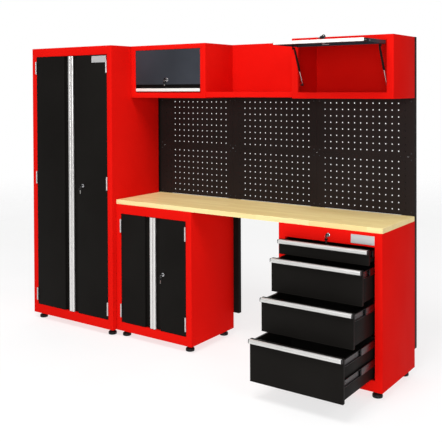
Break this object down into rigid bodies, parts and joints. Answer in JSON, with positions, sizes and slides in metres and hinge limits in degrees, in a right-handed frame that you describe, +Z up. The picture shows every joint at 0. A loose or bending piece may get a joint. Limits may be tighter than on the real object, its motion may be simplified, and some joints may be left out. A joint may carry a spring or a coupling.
{
  "type": "workbench with drawers",
  "caption": "Garage workbench row with drawers, hinged and flap door cabinets, wood worktop, pegboards, an open wall shelf and levelling feet.",
  "frame": {"origin": "on the floor, in the middle of the row's length and depth as it stands at rest with its drawers part open", "axes": "+X along the row to the right as seen from the front, +Y from the front to the wall, +Z up"},
  "size_m": [2.753, 0.92, 2.005],
  "materials": {
    "red_enamel": "semi-gloss red powder coat with fine orange peel",
    "black_enamel": "satin black powder coat",
    "charcoal_enamel": "satin charcoal powder coat",
    "anodised_aluminium": "satin anodised extrusion, fine lines along its length",
    "zinc_hinges": "bright zinc plate",
    "zinc_slides": "zinc plated, lightly greased",
    "lock_chrome": "polished chrome plate",
    "key_steel": "nickel plate",
    "strut_black": "gloss black",
    "strut_rod_chrome": "hard chrome",
    "rubberwood": "finger-jointed staves, clear oil",
    "foot_plastic": "moulded black nylon",
    "black_screws": "black zinc"
  },
  "bodies": {
    "root": {"tall_carcass": "red_enamel", "base_carcass": "red_enamel", "drawer_carcass": "red_enamel", "wall_cabinet_left": "red_enamel", "wall_cabinet_right": "red_enamel", "open_wall_shelf": "red_enamel", "cabinet_shelves": "red_enamel", "worktop": "rubberwood", "pegboards": "charcoal_enamel", "uprights": "charcoal_enamel", "levelling_feet": "foot_plastic", "hinge_frame_leaves": "zinc_hinges", "slide_cabinet_members": "zinc_slides", "drawer_lock_body": "lock_chrome", "fasteners": "black_screws"},
    "tall_door_left": {"tall_door_left": "black_enamel", "tall_handle_left": "anodised_aluminium", "tall_hinge_leaves_left": "zinc_hinges"},
    "tall_door_right": {"tall_door_right": "black_enamel", "tall_handle_right": "anodised_aluminium", "tall_hinge_leaves_right": "zinc_hinges", "tall_lock_body": "lock_chrome"},
    "tall_lock": {"tall_lock_key": "key_steel"},
    "base_door_left": {"base_door_left": "black_enamel", "base_handle_left": "anodised_aluminium", "base_hinge_leaves_left": "zinc_hinges"},
    "base_door_right": {"base_door_right": "black_enamel", "base_handle_right": "anodised_aluminium", "base_hinge_leaves_right": "zinc_hinges", "base_lock_body": "lock_chrome"},
    "base_lock": {"base_lock_key": "key_steel"},
    "drawer_1": {"drawer_1_box": "black_enamel", "drawer_1_handle": "anodised_aluminium", "drawer_1_slide_members": "zinc_slides"},
    "drawer_1_slides": {"drawer_1_slide_intermediates": "zinc_slides"},
    "drawer_2": {"drawer_2_box": "black_enamel", "drawer_2_handle": "anodised_aluminium", "drawer_2_slide_members": "zinc_slides"},
    "drawer_2_slides": {"drawer_2_slide_intermediates": "zinc_slides"},
    "drawer_3": {"drawer_3_box": "black_enamel", "drawer_3_handle": "anodised_aluminium", "drawer_3_slide_members": "zinc_slides"},
    "drawer_3_slides": {"drawer_3_slide_intermediates": "zinc_slides"},
    "drawer_4": {"drawer_4_box": "black_enamel", "drawer_4_handle": "anodised_aluminium", "drawer_4_slide_members": "zinc_slides"},
    "drawer_4_slides": {"drawer_4_slide_intermediates": "zinc_slides"},
    "drawer_lock": {"drawer_lock_key": "key_steel"},
    "flap_left": {"flap_door_left": "black_enamel", "flap_handle_left": "anodised_aluminium", "flap_lock_body_left": "lock_chrome"},
    "flap_left_strut_tubes": {"strut_tubes_left": "strut_black"},
    "flap_left_strut_rods": {"strut_rods_left": "strut_rod_chrome"},
    "flap_left_lock": {"flap_lock_key_left": "key_steel"},
    "flap_right": {"flap_door_right": "black_enamel", "flap_handle_right": "anodised_aluminium", "flap_lock_body_right": "lock_chrome"},
    "flap_right_strut_tubes": {"strut_tubes_right": "strut_black"},
    "flap_right_strut_rods": {"strut_rods_right": "strut_rod_chrome"},
    "flap_right_lock": {"flap_lock_key_right": "key_steel"}
  },
  "joints": [
    {"name": "tall_door_left_hinge", "type": "hinge", "parent": "root", "child": "tall_door_left", "pos_m": [-1.332, -0.095, 1], "axis": [0, 0, -1], "range_deg": [0, 95]},
    {"name": "tall_door_right_hinge", "type": "hinge", "parent": "root", "child": "tall_door_right", "pos_m": [-0.621, -0.095, 1], "axis": [0, 0, 1], "range_deg": [0, 95]},
    {"name": "tall_lock_turn", "type": "hinge", "parent": "tall_door_right", "child": "tall_lock", "pos_m": [-0.8575, -0.089, 1.022], "axis": [0, 1, 0], "range_deg": [0, 90]},
    {"name": "base_door_left_hinge", "type": "hinge", "parent": "root", "child": "base_door_left", "pos_m": [-0.528, -0.06, 0.5], "axis": [0, 0, -1], "range_deg": [0, 95]},
    {"name": "base_door_right_hinge", "type": "hinge", "parent": "root", "child": "base_door_right", "pos_m": [0.031, -0.06, 0.5], "axis": [0, 0, 1], "range_deg": [0, 95]},
    {"name": "base_lock_turn", "type": "hinge", "parent": "base_door_right", "child": "base_lock", "pos_m": [-0.1585, -0.054, 0.48], "axis": [0, 1, 0], "range_deg": [0, 90]},
    {"name": "drawer_1_slide", "type": "slide", "parent": "root", "child": "drawer_1", "axis": [0, -1, 0], "range_m": [-0.075, 0.325]},
    {"name": "drawer_1_slide_middle", "type": "slide", "parent": "root", "child": "drawer_1_slides", "axis": [0, -1, 0], "range_m": [-0.0375, 0.1625]},
    {"name": "drawer_2_slide", "type": "slide", "parent": "root", "child": "drawer_2", "axis": [0, -1, 0], "range_m": [-0.159, 0.241]},
    {"name": "drawer_2_slide_middle", "type": "slide", "parent": "root", "child": "drawer_2_slides", "axis": [0, -1, 0], "range_m": [-0.0795, 0.1205]},
    {"name": "drawer_3_slide", "type": "slide", "parent": "root", "child": "drawer_3", "axis": [0, -1, 0], "range_m": [-0.268, 0.132]},
    {"name": "drawer_3_slide_middle", "type": "slide", "parent": "root", "child": "drawer_3_slides", "axis": [0, -1, 0], "range_m": [-0.134, 0.066]},
    {"name": "drawer_4_slide", "type": "slide", "parent": "root", "child": "drawer_4", "axis": [0, -1, 0], "range_m": [-0.388, 0.012]},
    {"name": "drawer_4_slide_middle", "type": "slide", "parent": "root", "child": "drawer_4_slides", "axis": [0, -1, 0], "range_m": [-0.194, 0.006]},
    {"name": "drawer_lock_turn", "type": "hinge", "parent": "root", "child": "drawer_lock", "pos_m": [1.0515, -0.054, 0.874], "axis": [0, 1, 0], "range_deg": [0, 90]},
    {"name": "flap_left_hinge", "type": "hinge", "parent": "root", "child": "flap_left", "pos_m": [-0.2485, 0.104, 1.975], "axis": [1, 0, 0], "range_deg": [-90, 0]},
    {"name": "flap_left_strut_pivot", "type": "hinge", "parent": "flap_left", "child": "flap_left_strut_tubes", "pos_m": [-0.2485, 0.139, 1.913], "axis": [1, 0, 0], "range_deg": [0, 114]},
    {"name": "flap_left_strut_slide", "type": "slide", "parent": "flap_left_strut_tubes", "child": "flap_left_strut_rods", "axis": [0, 0.0263, -0.9997], "range_m": [0, 0.05]},
    {"name": "flap_left_lock_turn", "type": "hinge", "parent": "flap_left", "child": "flap_left_lock", "pos_m": [-0.2485, 0.108, 1.767], "axis": [0, 1, 0], "range_deg": [0, 90]},
    {"name": "flap_right_hinge", "type": "hinge", "parent": "root", "child": "flap_right", "pos_m": [1.0515, 0.104, 1.975], "axis": [1, 0, 0], "range_deg": [0, 90]},
    {"name": "flap_right_strut_pivot", "type": "hinge", "parent": "flap_right", "child": "flap_right_strut_tubes", "pos_m": [1.0515, 0.042, 1.94], "axis": [1, 0, 0], "range_deg": [-114, 0]},
    {"name": "flap_right_strut_slide", "type": "slide", "parent": "flap_right_strut_tubes", "child": "flap_right_strut_rods", "axis": [0, 0.4254, -0.905], "range_m": [-0.05, 0]},
    {"name": "flap_right_lock_turn", "type": "hinge", "parent": "flap_right", "child": "flap_right_lock", "pos_m": [1.0515, -0.104, 1.971], "axis": [0, 0, -1], "range_deg": [0, 90]}
  ],
  "couplings": [
    {"joint": "drawer_1_slide_middle", "follows": "drawer_1_slide", "ratio": 0.5},
    {"joint": "drawer_2_slide_middle", "follows": "drawer_2_slide", "ratio": 0.5},
    {"joint": "drawer_3_slide_middle", "follows": "drawer_3_slide", "ratio": 0.5},
    {"joint": "drawer_4_slide_middle", "follows": "drawer_4_slide", "ratio": 0.5},
    {"joint": "flap_left_strut_pivot", "follows": "flap_left_hinge", "ratio": -1.263},
    {"joint": "flap_left_strut_slide", "follows": "flap_left_hinge", "m_per_rad": -0.031647},
    {"joint": "flap_right_strut_pivot", "follows": "flap_right_hinge", "ratio": -1.263},
    {"joint": "flap_right_strut_slide", "follows": "flap_right_hinge", "m_per_rad": -0.031647}
  ]
}
